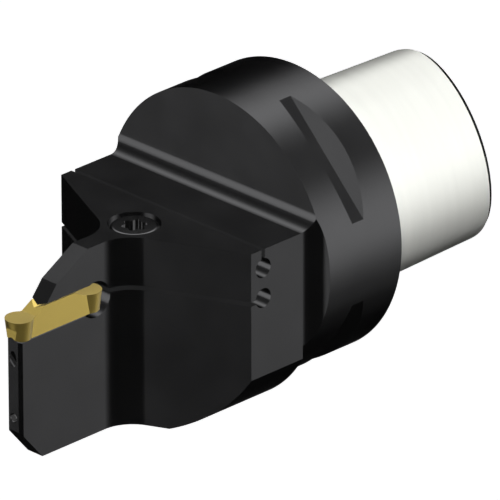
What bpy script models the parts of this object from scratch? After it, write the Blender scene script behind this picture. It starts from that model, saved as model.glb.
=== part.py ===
"""Parting and grooving cutting unit with a tapered polygon shank.

Origin at the centre of the flange's rear contact face. +Y runs along the tool axis towards the
end of the shank, the insert points to -Y, +X is to the right seen from the front, and +Z is up.
The rake face of the insert lies in the plane Z = 0. Lengths are in metres.
"""

import bmesh
import bpy
from math import cos, hypot, pi, radians, sin, sqrt, tan
from mathutils import Matrix, Vector

MM = 0.001

# Clearance between pieces that touch
SEAT_GAP = 0.3 * MM

# Tapered polygon shank: a three-lobed section that shrinks towards its end
SHANK_DIAMETER = 44.0 * MM
SHANK_LENGTH = 38.0 * MM
SHANK_TAPER = 1 / 20
LOBE_ECCENTRICITY = 1.4 * MM
LOBE_TURN = radians(30)
LEAD_IN_LENGTH = 1.3 * MM
LEAD_IN_DROP = 0.7 * MM

# Drawbar bore in the shank, with a groove for the clamping segments and a pull thread behind it
BORE_DIAMETER = 28.0 * MM
BORE_DEPTH = 27.0 * MM
BORE_MOUTH_CHAMFER = 1.0 * MM
GROOVE_DIAMETER = 31.5 * MM
GROOVE_WIDTH = 7.0 * MM
GROOVE_FLANK = 1.5 * MM
GROOVE_FROM_END = 9.0 * MM
PULL_THREAD_DIAMETER = 18.0 * MM
PULL_THREAD_LENGTH = 16.0 * MM

# Flange with four grooves for a tool changer's gripper
FLANGE_DIAMETER = 63.0 * MM
FLANGE_THICKNESS = 22.0 * MM
GRIP_COUNT = 4
GRIP_DEPTH = 3.7 * MM
GRIP_FLAT = 3.25 * MM
GRIP_WALL_LEAN = radians(30)
GRIP_FROM_FACE = 11.4 * MM

# Block in front of the flange
BLOCK_WIDTH = 55.2 * MM
BLOCK_TOP = 10.25 * MM
BLOCK_BOTTOM = 31.85 * MM
BLOCK_REACH = 39.6 * MM
UNDERSIDE_RADIUS = 31.95 * MM
UNDERSIDE_DROP = 2.0 * MM
NECK_TOP_FILLET = 3.5 * MM
NECK_SIDE_FILLET = 4.2 * MM
NECK_SIDE_DEPTH = 1.2 * MM
NECK_RUN_IN = 0.3 * MM
NECK_SINK = 0.05 * MM
NECK_OVERLAP = 0.2 * MM
FRONT_SWEEP = radians(25)
ROOT_FILLET = 8.0 * MM

# Blade that carries the insert
BLADE_THICKNESS = 4.3 * MM
BLADE_REACH = 80.2 * MM
BLADE_EDGE_CHAMFER = 0.7 * MM
BLADE_TOE_LENGTH = 5.9 * MM
BLADE_TOE_HEIGHT = 7.05 * MM

# Insert: double ended, with a full radius nose at each end
NOSE_RADIUS = 3.0 * MM
NOSE_SPACING = 19.25 * MM
NOSE_RELIEF = radians(7)
INSERT_OVERHANG = 1.15 * MM
INSERT_DEPTH = 4.45 * MM
INSERT_RIDGE = 1.57 * MM
INSERT_BODY_WIDTH = 4.1 * MM
RAMP_FROM_NOSE = 2.75 * MM
RAMP_LENGTH = 2.7 * MM
RAIL_VEE = 0.75 * MM
NOSE_FLAT_SETBACK = 0.75 * MM
NOSE_FLAT_HEIGHT = 2.4 * MM
NOSE_FLAT_RUN_OUT = 0.5 * MM

# Clamping arm: the top of the blade, cut free by two slits and bending at a thin web
JAW_LIP = 0.3 * MM
JAW_NOSE_LENGTH = 2.8 * MM
JAW_NOSE_HEIGHT = 3.43 * MM
JAW_SLOPE_LENGTH = 8.8 * MM
RELIEF_HOLE_DIAMETER = 8.0 * MM
RELIEF_HOLE_DROP = 1.8 * MM
RELIEF_HOLE_SETBACK = 0.2 * MM
SLIT_WIDTH = 1.0 * MM
SLIT_DROP = 0.95 * MM
WEB_HOLE_DIAMETER = 4.3 * MM
WEB_HOLE_RISE = 6.1 * MM
WEB_HOLE_SPACING = 6.7 * MM
WEB_REACH = 36.15 * MM

# Clamping screw with a six-lobed socket
SCREW_REACH = 45.6 * MM
SCREW_HEAD_DIAMETER = 10.3 * MM
SCREW_HEAD_HEIGHT = 4.5 * MM
SCREW_HEAD_ROUND = 0.8 * MM
SCREW_SINK = 0.4 * MM
SCREW_DIAMETER = 6.0 * MM
SCREW_BITE = 11.5 * MM
SCREW_TIP_CHAMFER = 0.6 * MM
SCREW_HOLE_EXTRA = 1.5 * MM
COUNTERBORE_DIAMETER = 11.1 * MM
SOCKET_ACROSS = 5.6 * MM
SOCKET_WAIST = 4.0 * MM
SOCKET_DEPTH = 2.6 * MM
SOCKET_LOBES = 6

# Coolant ducts
SUPPLY_DIAMETER = 4.0 * MM
SUPPLY_END_REACH = 34.0 * MM
DRILLING_DIAMETER = 2.0 * MM
DRILLING_DROP = 21.9 * MM
OUTLET_DIAMETER = 1.9 * MM
OUTLET_DROP = 8.7 * MM
OUTLET_TILT = radians(58)
PLUG_LENGTH = 3.0 * MM

# Facets of round shapes
TURNED_SEGMENTS = 96
HOLE_SEGMENTS = 32
SMALL_HOLE_SEGMENTS = 20
FILLET_STEPS = 6
LOBE_STEPS = 8
# Edges that bend more than this are shaded sharp
SHARP_ANGLE = radians(28)
# How far a cutter runs past the face that it opens
CUT_PAST = 2.0 * MM
# A face nearer than this to the contact plane lies in it
FLAT_LIMIT = 0.01 * MM

# Places worked out from the sizes
flange_radius = FLANGE_DIAMETER / 2
half_block = BLOCK_WIDTH / 2
half_blade = BLADE_THICKNESS / 2
blade_front = -BLADE_REACH
lead_in_start = SHANK_LENGTH - LEAD_IN_LENGTH
neck_side_floor = NECK_SIDE_DEPTH - FLANGE_THICKNESS
neck_side_start = neck_side_floor - NECK_SIDE_FILLET
neck_start = min(-FLANGE_THICKNESS - NECK_TOP_FILLET, neck_side_start)
block_rear = neck_side_start + NECK_OVERLAP
front_nose = blade_front - INSERT_OVERHANG + NOSE_RADIUS
rear_nose = front_nose + NOSE_SPACING
ramp_end = front_nose + RAMP_FROM_NOSE + RAMP_LENGTH
relief_hole = rear_nose + RELIEF_HOLE_SETBACK
jaw_foot = ramp_end + JAW_LIP
screw_top = BLOCK_TOP - SCREW_SINK
head_seat = screw_top - SCREW_HEAD_HEIGHT
screw_tip = -(SLIT_DROP + SCREW_BITE)
bore_end = SHANK_LENGTH - BORE_DEPTH
pull_thread_end = bore_end - PULL_THREAD_LENGTH

AXIS_X = Vector((1, 0, 0))
AXIS_Y = Vector((0, 1, 0))
AXIS_Z = Vector((0, 0, 1))


def clear_scene():
    """Remove every object, so that only the tool is in the file."""
    for obj in list(bpy.data.objects):
        bpy.data.objects.remove(obj, do_unlink=True)


def make_material(name, colour, metallic, roughness):
    """Return a Principled BSDF material."""
    material = bpy.data.materials.new(name)
    material.use_nodes = True
    shader = material.node_tree.nodes["Principled BSDF"]
    shader.inputs["Base Color"].default_value = (*colour, 1.0)
    shader.inputs["Metallic"].default_value = metallic
    shader.inputs["Roughness"].default_value = roughness
    material.diffuse_color = (*colour, 1.0)
    return material


def loft(name, rings):
    """Return a closed object with flat ends that joins rings of points in turn."""
    bm = bmesh.new()
    loops = [[bm.verts.new(point) for point in ring] for ring in rings]
    count = len(loops[0])
    for lower, upper in zip(loops, loops[1:]):
        for i in range(count):
            j = (i + 1) % count
            bm.faces.new((lower[i], lower[j], upper[j], upper[i]))
    bm.faces.new(reversed(loops[0]))
    bm.faces.new(loops[-1])
    bmesh.ops.recalc_face_normals(bm, faces=bm.faces)
    mesh = bpy.data.meshes.new(name)
    bm.to_mesh(mesh)
    bm.free()
    obj = bpy.data.objects.new(name, mesh)
    bpy.context.scene.collection.objects.link(obj)
    return obj


def place_flat(axis, along, u, v):
    """Put a point of a flat outline into space, at a distance along an axis."""
    if axis == "X":
        return Vector((along, u, v))
    if axis == "Y":
        return Vector((u, along, v))
    return Vector((u, v, along))


def prism(name, outline, axis, start, end):
    """Extrude a flat outline along X, Y or Z."""
    return loft(name, [[place_flat(axis, a, u, v) for u, v in outline] for a in (start, end)])


def turned(name, profile, base, direction, segments):
    """Turn a profile of (distance, radius) pairs about the line from base along direction."""
    axis = direction.normalized()
    side = axis.orthogonal().normalized()
    other = axis.cross(side)
    turns = [2 * pi * i / segments for i in range(segments)]
    rings = [
        [base + axis * along + (side * cos(t) + other * sin(t)) * radius for t in turns]
        for along, radius in profile
    ]
    return loft(name, rings)


def drilling(name, start, end, diameter, segments):
    """Return a plain round cutter between two points."""
    line = end - start
    return turned(name, [(0, diameter / 2), (line.length, diameter / 2)], start, line, segments)


def arc(centre, radius, start, end, steps):
    """Return points along an arc in a flat outline, both ends included."""
    angles = [start + (end - start) * i / steps for i in range(steps + 1)]
    return [(centre[0] + radius * cos(a), centre[1] + radius * sin(a)) for a in angles]


def mirrored(right_half):
    """Complete an outline that runs up or down the side where its first value is positive."""
    return right_half + [(-u, v) for u, v in reversed(right_half)]


def combine(target, tool, operation):
    """Join, cut or intersect target with tool, and remove the tool."""
    modifier = target.modifiers.new(operation.title(), "BOOLEAN")
    modifier.operation = operation
    modifier.solver = "EXACT"
    modifier.object = tool
    depsgraph = bpy.context.evaluated_depsgraph_get()
    result = bpy.data.meshes.new_from_object(target.evaluated_get(depsgraph))
    target.modifiers.clear()
    target.data = result
    bpy.data.objects.remove(tool, do_unlink=True)


def finish(obj, *materials):
    """Give an object its materials, and shade its round faces smooth."""
    obj.data.materials.clear()
    for material in materials:
        obj.data.materials.append(material)
    obj.data.shade_smooth()
    obj.data.set_sharp_from_angle(angle=SHARP_ANGLE)
    obj.data.name = obj.name


def polygon_section(diameter, along):
    """Return the shank's three-lobed section at a distance along the tool axis."""
    points = []
    for i in range(TURNED_SEGMENTS):
        t = 2 * pi * i / TURNED_SEGMENTS
        u = diameter / 2 * cos(t) + LOBE_ECCENTRICITY * (cos(4 * t) - 2 * cos(2 * t))
        v = diameter / 2 * sin(t) + LOBE_ECCENTRICITY * (sin(4 * t) + 2 * sin(2 * t))
        x = u * cos(LOBE_TURN) - v * sin(LOBE_TURN)
        z = u * sin(LOBE_TURN) + v * cos(LOBE_TURN)
        points.append(Vector((x, along, z)))
    return points


def make_shank():
    """The tapered polygon, starting inside the flange."""
    def diameter(along):
        return SHANK_DIAMETER - SHANK_TAPER * along

    end_diameter = diameter(SHANK_LENGTH) - 2 * LEAD_IN_DROP
    return loft("shank", [
        polygon_section(diameter(-CUT_PAST), -CUT_PAST),
        polygon_section(diameter(lead_in_start), lead_in_start),
        polygon_section(end_diameter, SHANK_LENGTH),
    ])


def neck_outline(level, fillet, floor):
    """Outline of one cut around the neck: level with a block face, then curving out to the floor.

    It starts a little under the block's face, where the neck and the block are joined.
    """
    start = floor - fillet
    front = neck_start - 2 * CUT_PAST
    past = flange_radius + CUT_PAST
    outline = [(front, level - NECK_SINK), (start - NECK_RUN_IN, level - NECK_SINK)]
    for i in range(1, FILLET_STEPS + 1):
        turn = pi / 2 * i / FILLET_STEPS
        outline.append((start + fillet * sin(turn), level + fillet * (1 - cos(turn))))
    return outline + [(floor, past), (front, past)]


def neck_cutters():
    """What is cut away above the neck, and deeper into the flange on both sides of it."""
    past = flange_radius + CUT_PAST
    above = neck_outline(BLOCK_TOP, NECK_TOP_FILLET, -FLANGE_THICKNESS)
    yield prism("above_neck", above, "X", -past, past)
    for side in (-1, 1):
        outline = neck_outline(half_block, NECK_SIDE_FILLET, neck_side_floor)
        beside = [(side * v, u) for u, v in outline]
        yield prism("beside_neck", beside, "Z", -past, past)


def make_block():
    """Block and blade in one: plan, cross section and side view cut into each other."""
    sweep_c, sweep_s = cos(FRONT_SWEEP), sin(FRONT_SWEEP)
    root_x = half_blade + ROOT_FILLET
    root_y = -BLOCK_REACH - ((half_block - root_x) * sweep_s + ROOT_FILLET) / sweep_c
    plan = [
        (half_blade - BLADE_EDGE_CHAMFER, blade_front),
        (half_blade, blade_front + BLADE_EDGE_CHAMFER),
        *arc((root_x, root_y), ROOT_FILLET, pi, pi / 2 + FRONT_SWEEP, 2 * FILLET_STEPS),
        (half_block, -BLOCK_REACH),
        (half_block, block_rear),
    ]
    block = prism("block", mirrored(plan), "Z", -flange_radius - 3 * CUT_PAST, BLOCK_TOP)

    section = [
        *arc((0, -UNDERSIDE_DROP), UNDERSIDE_RADIUS, -pi, 0, TURNED_SEGMENTS // 2),
        (UNDERSIDE_RADIUS, BLOCK_TOP + CUT_PAST),
        (-UNDERSIDE_RADIUS, BLOCK_TOP + CUT_PAST),
    ]
    past_front = blade_front - CUT_PAST
    section_tool = prism("section", section, "Y", past_front, block_rear + CUT_PAST)
    combine(block, section_tool, "INTERSECT")

    jaw_seat = INSERT_RIDGE + SEAT_GAP
    slope_foot = (jaw_foot + JAW_NOSE_LENGTH, jaw_seat + JAW_NOSE_HEIGHT)
    nose_run = JAW_NOSE_LENGTH / JAW_NOSE_HEIGHT
    side_view = [
        (blade_front, -(BLOCK_BOTTOM - BLADE_TOE_HEIGHT)),
        (blade_front + BLADE_TOE_LENGTH, -BLOCK_BOTTOM),
        (block_rear + CUT_PAST, -BLOCK_BOTTOM),
        (block_rear + CUT_PAST, BLOCK_TOP + CUT_PAST),
        (slope_foot[0] + JAW_SLOPE_LENGTH, BLOCK_TOP + CUT_PAST),
        (slope_foot[0] + JAW_SLOPE_LENGTH, BLOCK_TOP),
        slope_foot,
        (jaw_foot - jaw_seat * nose_run, 0),
        (blade_front, 0),
    ]
    wide = half_block + CUT_PAST
    combine(block, prism("side_view", side_view, "X", -wide, wide), "INTERSECT")
    return block


def grip_cutter(turn):
    """One gripper groove: a straight cut across the flange with leaning walls."""
    floor = flange_radius - GRIP_DEPTH
    height = GRIP_DEPTH + CUT_PAST
    spread = GRIP_FLAT / 2 + height * tan(GRIP_WALL_LEAN)
    outline = [
        (-GRIP_FROM_FACE - GRIP_FLAT / 2, floor),
        (-GRIP_FROM_FACE + GRIP_FLAT / 2, floor),
        (-GRIP_FROM_FACE + spread, floor + height),
        (-GRIP_FROM_FACE - spread, floor + height),
    ]
    half_chord = sqrt(flange_radius**2 - floor**2) + CUT_PAST
    cutter = prism("grip", outline, "X", -half_chord, half_chord)
    cutter.matrix_world = Matrix.Rotation(turn, 4, "Y")
    return cutter


def drawbar_bore_cutter():
    """The hollow of the shank, from its open end to the end of the pull thread."""
    bore = BORE_DIAMETER / 2
    groove = GROOVE_DIAMETER / 2
    thread = PULL_THREAD_DIAMETER / 2
    groove_start = GROOVE_FROM_END
    groove_end = GROOVE_FROM_END + GROOVE_WIDTH
    profile = [
        (-CUT_PAST, bore + BORE_MOUTH_CHAMFER + CUT_PAST),
        (BORE_MOUTH_CHAMFER, bore),
        (groove_start, bore),
        (groove_start + GROOVE_FLANK, groove),
        (groove_end - GROOVE_FLANK, groove),
        (groove_end, bore),
        (BORE_DEPTH, bore),
        (BORE_DEPTH + bore - thread, thread),
        (SHANK_LENGTH - pull_thread_end, thread),
        (SHANK_LENGTH - pull_thread_end + thread - SUPPLY_DIAMETER / 2, SUPPLY_DIAMETER / 2),
    ]
    return turned("drawbar_bore", profile, AXIS_Y * SHANK_LENGTH, -AXIS_Y, HOLE_SEGMENTS * 2)


def seat_cutter():
    """The insert's seat: a through pocket whose floor and roof are shallow ridges."""
    roof = INSERT_RIDGE + SEAT_GAP
    floor = -INSERT_DEPTH - SEAT_GAP
    rail = INSERT_BODY_WIDTH / 2
    wide = NOSE_RADIUS + CUT_PAST
    right_half = [(0, floor + RAIL_VEE), (rail, floor), (wide, floor), (wide, roof), (rail, roof)]
    outline = right_half + [(0, roof - RAIL_VEE)] + [(-u, v) for u, v in reversed(right_half[1:])]
    past_front = front_nose - NOSE_RADIUS - CUT_PAST
    return prism("seat", outline, "Y", past_front, relief_hole)


def screw_hole_cutter():
    """Counterbore in the arm, and the hole that goes on down into the block."""
    hole = SCREW_DIAMETER / 2 + SEAT_GAP
    counterbore = COUNTERBORE_DIAMETER / 2
    floor = BLOCK_TOP + CUT_PAST - (head_seat - SEAT_GAP)
    profile = [
        (0, counterbore),
        (floor, counterbore),
        (floor, hole),
        (BLOCK_TOP + CUT_PAST - screw_tip + SCREW_HOLE_EXTRA, hole),
    ]
    top = Vector((0, -SCREW_REACH, BLOCK_TOP + CUT_PAST))
    return turned("screw_hole", profile, top, -AXIS_Z, HOLE_SEGMENTS)


def arm_cutters():
    """Relief hole, the two web holes and the two slits that free the clamping arm."""
    wide = half_block + CUT_PAST
    across = AXIS_X * wide
    slit = SLIT_WIDTH / 2
    for name, along, height, diameter in (
        ("relief_hole", relief_hole, -RELIEF_HOLE_DROP, RELIEF_HOLE_DIAMETER),
        ("upper_web_hole", -WEB_REACH, WEB_HOLE_RISE, WEB_HOLE_DIAMETER),
        ("lower_web_hole", -WEB_REACH, WEB_HOLE_RISE - WEB_HOLE_SPACING, WEB_HOLE_DIAMETER),
    ):
        centre = Vector((0, along, height))
        yield drilling(name, centre - across, centre + across, diameter, HOLE_SEGMENTS)
    upper = [
        (-WEB_REACH - slit, WEB_HOLE_RISE),
        (-WEB_REACH + slit, WEB_HOLE_RISE),
        (-WEB_REACH + slit, BLOCK_TOP + CUT_PAST),
        (-WEB_REACH - slit, BLOCK_TOP + CUT_PAST),
    ]
    yield prism("upper_slit", upper, "X", -wide, wide)
    lower = [
        (relief_hole, -SLIT_DROP - slit),
        (-WEB_REACH, -SLIT_DROP - slit),
        (-WEB_REACH, -SLIT_DROP + slit),
        (relief_hole, -SLIT_DROP + slit),
    ]
    yield prism("lower_slit", lower, "X", -wide, wide)


def coolant_cutters():
    """Supply duct, the long drilling from the blade's front, and the outlet under the insert."""
    drilling_end = Vector((0, -SUPPLY_END_REACH, -DRILLING_DROP))
    supply_start = Vector((0, pull_thread_end, 0))
    yield drilling("supply", supply_start, drilling_end, SUPPLY_DIAMETER, SMALL_HOLE_SEGMENTS)
    front = Vector((0, blade_front - CUT_PAST, -DRILLING_DROP))
    yield drilling("long_drilling", front, drilling_end, DRILLING_DIAMETER, SMALL_HOLE_SEGMENTS)
    outward = Vector((0, -cos(OUTLET_TILT), sin(OUTLET_TILT)))
    mouth = Vector((0, blade_front, -OUTLET_DROP))
    run = (DRILLING_DROP - OUTLET_DROP) / sin(OUTLET_TILT)
    start = mouth + outward * (CUT_PAST + OUTLET_DIAMETER)
    end = mouth - outward * run
    yield drilling("outlet", start, end, OUTLET_DIAMETER, SMALL_HOLE_SEGMENTS)


def is_ground(face):
    """Whether a face is bright: the outside of the taper, and the contact face around it."""
    along = face.center.y
    across = hypot(face.center.x, face.center.z)
    on_contact_face = abs(along) < FLAT_LIMIT and face.normal.y > 0.5
    return on_contact_face or (0 < along < lead_in_start and across > GROOVE_DIAMETER / 2)


def make_tool_body():
    """Shank, flange, block, blade and clamping arm: one machined piece."""
    stock = [(neck_start - NECK_RUN_IN, flange_radius), (0, flange_radius)]
    body = turned("tool_body", stock, Vector((0, 0, 0)), AXIS_Y, TURNED_SEGMENTS)
    for cutter in neck_cutters():
        combine(body, cutter, "DIFFERENCE")
    combine(body, make_shank(), "UNION")
    combine(body, make_block(), "UNION")
    for i in range(GRIP_COUNT):
        combine(body, grip_cutter(2 * pi * (i + 0.5) / GRIP_COUNT), "DIFFERENCE")
    combine(body, drawbar_bore_cutter(), "DIFFERENCE")
    combine(body, seat_cutter(), "DIFFERENCE")
    combine(body, screw_hole_cutter(), "DIFFERENCE")
    for cutter in arm_cutters():
        combine(body, cutter, "DIFFERENCE")
    for cutter in coolant_cutters():
        combine(body, cutter, "DIFFERENCE")
    black_oxide = make_material("black_oxide_steel", (0.012, 0.012, 0.013), 0.6, 0.38)
    ground = make_material("ground_steel", (0.80, 0.80, 0.79), 1.0, 0.30)
    finish(body, black_oxide, ground)
    for face in body.data.polygons:
        face.material_index = 1 if is_ground(face) else 0
    return body


def insert_nose(along):
    """One round nose, narrowing downwards at its relief angle."""
    foot_radius = NOSE_RADIUS - INSERT_DEPTH * tan(NOSE_RELIEF)
    profile = [(0, foot_radius), (INSERT_DEPTH, NOSE_RADIUS)]
    base = Vector((0, along, -INSERT_DEPTH))
    return turned("nose", profile, base, AXIS_Z, HOLE_SEGMENTS * 2)


def nose_flat_cutter(along, outward):
    """The flat below a nose's relief, cut across the tip of its lower part."""
    tip = along + outward * NOSE_RADIUS
    flat = tip - outward * NOSE_FLAT_SETBACK
    flat_top = -INSERT_DEPTH + NOSE_FLAT_HEIGHT
    past = tip + outward * CUT_PAST
    outline = [
        (flat, -INSERT_DEPTH - CUT_PAST),
        (flat, flat_top),
        (tip, flat_top + NOSE_FLAT_RUN_OUT),
        (past, flat_top + NOSE_FLAT_RUN_OUT),
        (past, -INSERT_DEPTH - CUT_PAST),
    ]
    return prism("nose_flat", outline, "X", -NOSE_RADIUS, NOSE_RADIUS)


def make_insert():
    """The double-ended insert: a grooved rail between two round noses."""
    middle = (front_nose + rear_nose) / 2
    half = NOSE_SPACING / 2
    ramp_foot = half - RAMP_FROM_NOSE
    ramp_top = ramp_foot - RAMP_LENGTH
    right_half = [(half, -INSERT_DEPTH), (half, 0), (ramp_foot, 0), (ramp_top, INSERT_RIDGE)]
    outline = [(middle + u, v) for u, v in mirrored(right_half)]
    rail = INSERT_BODY_WIDTH / 2
    insert = prism("cutting_insert", outline, "X", -rail, rail)
    for along in (front_nose, rear_nose):
        combine(insert, insert_nose(along), "UNION")
    for height, up in ((INSERT_RIDGE, 1), (-INSERT_DEPTH, -1)):
        past = (CUT_PAST / RAIL_VEE + 1) * rail
        vee = [(0, height - up * RAIL_VEE), (past, height + up * CUT_PAST),
               (-past, height + up * CUT_PAST)]
        reach = half + 2 * NOSE_RADIUS
        combine(insert, prism("vee", vee, "Y", middle - reach, middle + reach), "DIFFERENCE")
    for along, outward in ((front_nose, -1), (rear_nose, 1)):
        combine(insert, nose_flat_cutter(along, outward), "DIFFERENCE")
    finish(insert, make_material("gold_coated_carbide", (0.40, 0.28, 0.07), 0.85, 0.32))
    return insert


def make_screw():
    """The clamping screw, head up, with a six-lobed socket."""
    head = SCREW_HEAD_DIAMETER / 2
    shaft = SCREW_DIAMETER / 2
    head_end = SCREW_HEAD_HEIGHT
    tip = screw_top - screw_tip
    profile = []
    for i in range(FILLET_STEPS + 1):
        turn = pi / 2 * i / FILLET_STEPS
        across = head - SCREW_HEAD_ROUND + SCREW_HEAD_ROUND * sin(turn)
        profile.append((SCREW_HEAD_ROUND * (1 - cos(turn)), across))
    profile += [
        (head_end, head),
        (head_end, shaft),
        (tip - SCREW_TIP_CHAMFER, shaft),
        (tip, shaft - SCREW_TIP_CHAMFER),
    ]
    top = Vector((0, -SCREW_REACH, screw_top))
    screw = turned("clamp_screw", profile, top, -AXIS_Z, HOLE_SEGMENTS)
    mean = (SOCKET_ACROSS + SOCKET_WAIST) / 4
    swing = (SOCKET_ACROSS - SOCKET_WAIST) / 4
    steps = SOCKET_LOBES * LOBE_STEPS
    socket = []
    for i in range(steps):
        t = 2 * pi * i / steps
        radius = mean + swing * cos(SOCKET_LOBES * t)
        socket.append((radius * cos(t), radius * sin(t) - SCREW_REACH))
    floor = screw_top - SOCKET_DEPTH
    combine(screw, prism("socket", socket, "Z", floor, screw_top + CUT_PAST), "DIFFERENCE")
    finish(screw, make_material("dark_screw_steel", (0.02, 0.02, 0.022), 0.8, 0.35))
    return screw


def make_plug():
    """The round plug that closes the long coolant drilling at the blade's front."""
    radius = DRILLING_DIAMETER / 2 - SEAT_GAP
    start = Vector((0, blade_front, -DRILLING_DROP))
    plug = turned("coolant_plug", [(0, radius), (PLUG_LENGTH, radius)], start, AXIS_Y,
                  SMALL_HOLE_SEGMENTS)
    finish(plug, make_material("plug_steel", (0.10, 0.10, 0.10), 0.9, 0.35))
    return plug


def main():
    clear_scene()
    make_tool_body()
    make_insert()
    make_screw()
    make_plug()


main()
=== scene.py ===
from math import cos, hypot, pi, radians, sin, sqrt, tan

import bmesh
import bpy
from mathutils import Matrix, Vector


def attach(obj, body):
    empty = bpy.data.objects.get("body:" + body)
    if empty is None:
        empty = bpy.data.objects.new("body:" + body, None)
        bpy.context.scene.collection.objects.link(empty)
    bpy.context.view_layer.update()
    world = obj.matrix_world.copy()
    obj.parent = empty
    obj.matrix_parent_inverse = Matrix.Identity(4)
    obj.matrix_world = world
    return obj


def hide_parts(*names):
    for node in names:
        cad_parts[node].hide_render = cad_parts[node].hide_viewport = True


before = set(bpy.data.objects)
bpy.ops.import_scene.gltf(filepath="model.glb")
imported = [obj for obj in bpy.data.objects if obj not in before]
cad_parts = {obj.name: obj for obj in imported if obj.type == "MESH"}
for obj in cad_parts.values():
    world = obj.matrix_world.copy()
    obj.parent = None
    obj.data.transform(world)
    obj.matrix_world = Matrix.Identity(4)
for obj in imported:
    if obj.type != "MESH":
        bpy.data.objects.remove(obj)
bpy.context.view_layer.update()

MM = 0.001
BODY = "root"

# Sizes of the tool, the same as in the CAD source
SEAT_GAP = 0.3 * MM

SHANK_DIAMETER = 44.0 * MM
SHANK_LENGTH = 38.0 * MM
SHANK_TAPER = 1 / 20
LOBE_ECCENTRICITY = 1.4 * MM
LOBE_TURN = radians(30)
LEAD_IN_LENGTH = 1.3 * MM
LEAD_IN_DROP = 0.7 * MM

BORE_DIAMETER = 28.0 * MM
BORE_DEPTH = 27.0 * MM
BORE_MOUTH_CHAMFER = 1.0 * MM
GROOVE_DIAMETER = 31.5 * MM
GROOVE_WIDTH = 7.0 * MM
GROOVE_FLANK = 1.5 * MM
GROOVE_FROM_END = 9.0 * MM
PULL_THREAD_DIAMETER = 18.0 * MM
PULL_THREAD_LENGTH = 16.0 * MM
PULL_THREAD_PITCH = 1.5 * MM

FLANGE_DIAMETER = 63.0 * MM
FLANGE_THICKNESS = 22.0 * MM
GRIP_COUNT = 4
GRIP_DEPTH = 3.7 * MM
GRIP_FLAT = 3.25 * MM
GRIP_WALL_LEAN = radians(30)
GRIP_FROM_FACE = 11.4 * MM

BLOCK_WIDTH = 55.2 * MM
BLOCK_TOP = 10.25 * MM
BLOCK_BOTTOM = 31.85 * MM
BLOCK_REACH = 39.6 * MM
UNDERSIDE_RADIUS = 31.95 * MM
UNDERSIDE_DROP = 2.0 * MM
NECK_TOP_FILLET = 3.5 * MM
NECK_SIDE_FILLET = 4.2 * MM
NECK_SIDE_DEPTH = 1.2 * MM
NECK_RUN_IN = 0.3 * MM
NECK_SINK = 0.05 * MM
NECK_OVERLAP = 0.2 * MM
FRONT_SWEEP = radians(25)
ROOT_FILLET = 8.0 * MM

BLADE_THICKNESS = 4.3 * MM
BLADE_REACH = 80.2 * MM
BLADE_EDGE_CHAMFER = 0.7 * MM
BLADE_TOE_LENGTH = 5.9 * MM
BLADE_TOE_HEIGHT = 7.05 * MM

NOSE_RADIUS = 3.0 * MM
NOSE_SPACING = 19.25 * MM
NOSE_RELIEF = radians(7)
INSERT_OVERHANG = 1.15 * MM
INSERT_DEPTH = 4.45 * MM
INSERT_RIDGE = 1.57 * MM
INSERT_BODY_WIDTH = 4.1 * MM
RAMP_FROM_NOSE = 2.75 * MM
RAMP_LENGTH = 2.7 * MM
RAIL_VEE = 0.75 * MM
NOSE_FLAT_SETBACK = 0.75 * MM
NOSE_FLAT_HEIGHT = 2.4 * MM
NOSE_FLAT_RUN_OUT = 0.5 * MM

JAW_LIP = 0.3 * MM
JAW_NOSE_LENGTH = 2.8 * MM
JAW_NOSE_HEIGHT = 3.43 * MM
JAW_SLOPE_LENGTH = 8.8 * MM
RELIEF_HOLE_DIAMETER = 8.0 * MM
RELIEF_HOLE_DROP = 1.8 * MM
RELIEF_HOLE_SETBACK = 0.2 * MM
SLIT_WIDTH = 1.0 * MM
SLIT_DROP = 0.95 * MM
WEB_HOLE_DIAMETER = 4.3 * MM
WEB_HOLE_RISE = 6.1 * MM
WEB_HOLE_SPACING = 6.7 * MM
WEB_REACH = 36.15 * MM

SCREW_REACH = 45.6 * MM
SCREW_HEAD_DIAMETER = 10.3 * MM
SCREW_HEAD_HEIGHT = 4.5 * MM
SCREW_HEAD_ROUND = 0.8 * MM
SCREW_SINK = 0.4 * MM
SCREW_DIAMETER = 6.0 * MM
SCREW_PITCH = 1.0 * MM
SCREW_BITE = 11.5 * MM
SCREW_TIP_CHAMFER = 0.6 * MM
SCREW_HOLE_EXTRA = 1.5 * MM
COUNTERBORE_DIAMETER = 11.1 * MM
SOCKET_ACROSS = 5.6 * MM
SOCKET_WAIST = 4.0 * MM
SOCKET_DEPTH = 2.6 * MM
SOCKET_LOBES = 6

SUPPLY_DIAMETER = 4.0 * MM
SUPPLY_END_REACH = 34.0 * MM
DRILLING_DIAMETER = 2.0 * MM
DRILLING_DROP = 21.9 * MM
OUTLET_DIAMETER = 1.9 * MM
OUTLET_DROP = 8.7 * MM
OUTLET_TILT = radians(58)
PLUG_LENGTH = 3.0 * MM

# The form of both threads, in shares of the pitch, and its run-out in turns
THREAD_DEPTH_SHARE = 0.6
THREAD_FLANK_SHARE = 0.42
THREAD_LAND_SHARE = 0.08
THREAD_RUN_OUT = 0.25
THREAD_RUN_IN = 0.8 * MM
THREAD_SINK = 0.05 * MM

# Fineness: many facets, so that round surfaces show none
TURNED_SEGMENTS = 384
HOLE_SEGMENTS = 96
SMALL_HOLE_SEGMENTS = 48
FILLET_STEPS = 24
LOBE_STEPS = 16
THREAD_STEPS = 48
SHARP_ANGLE = radians(16)
NORMAL_WEIGHT = 100

# How far a cutter reaches past what it cuts, the size under which a face is a sliver, and two
# limits for telling faces apart: slack in place, and how much of the normal points one way
CUT_PAST = 2.0 * MM
SLIVER_LIMIT = 0.0002 * MM
FLAT_LIMIT = 0.01 * MM
FACING_LIMIT = 0.5

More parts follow.
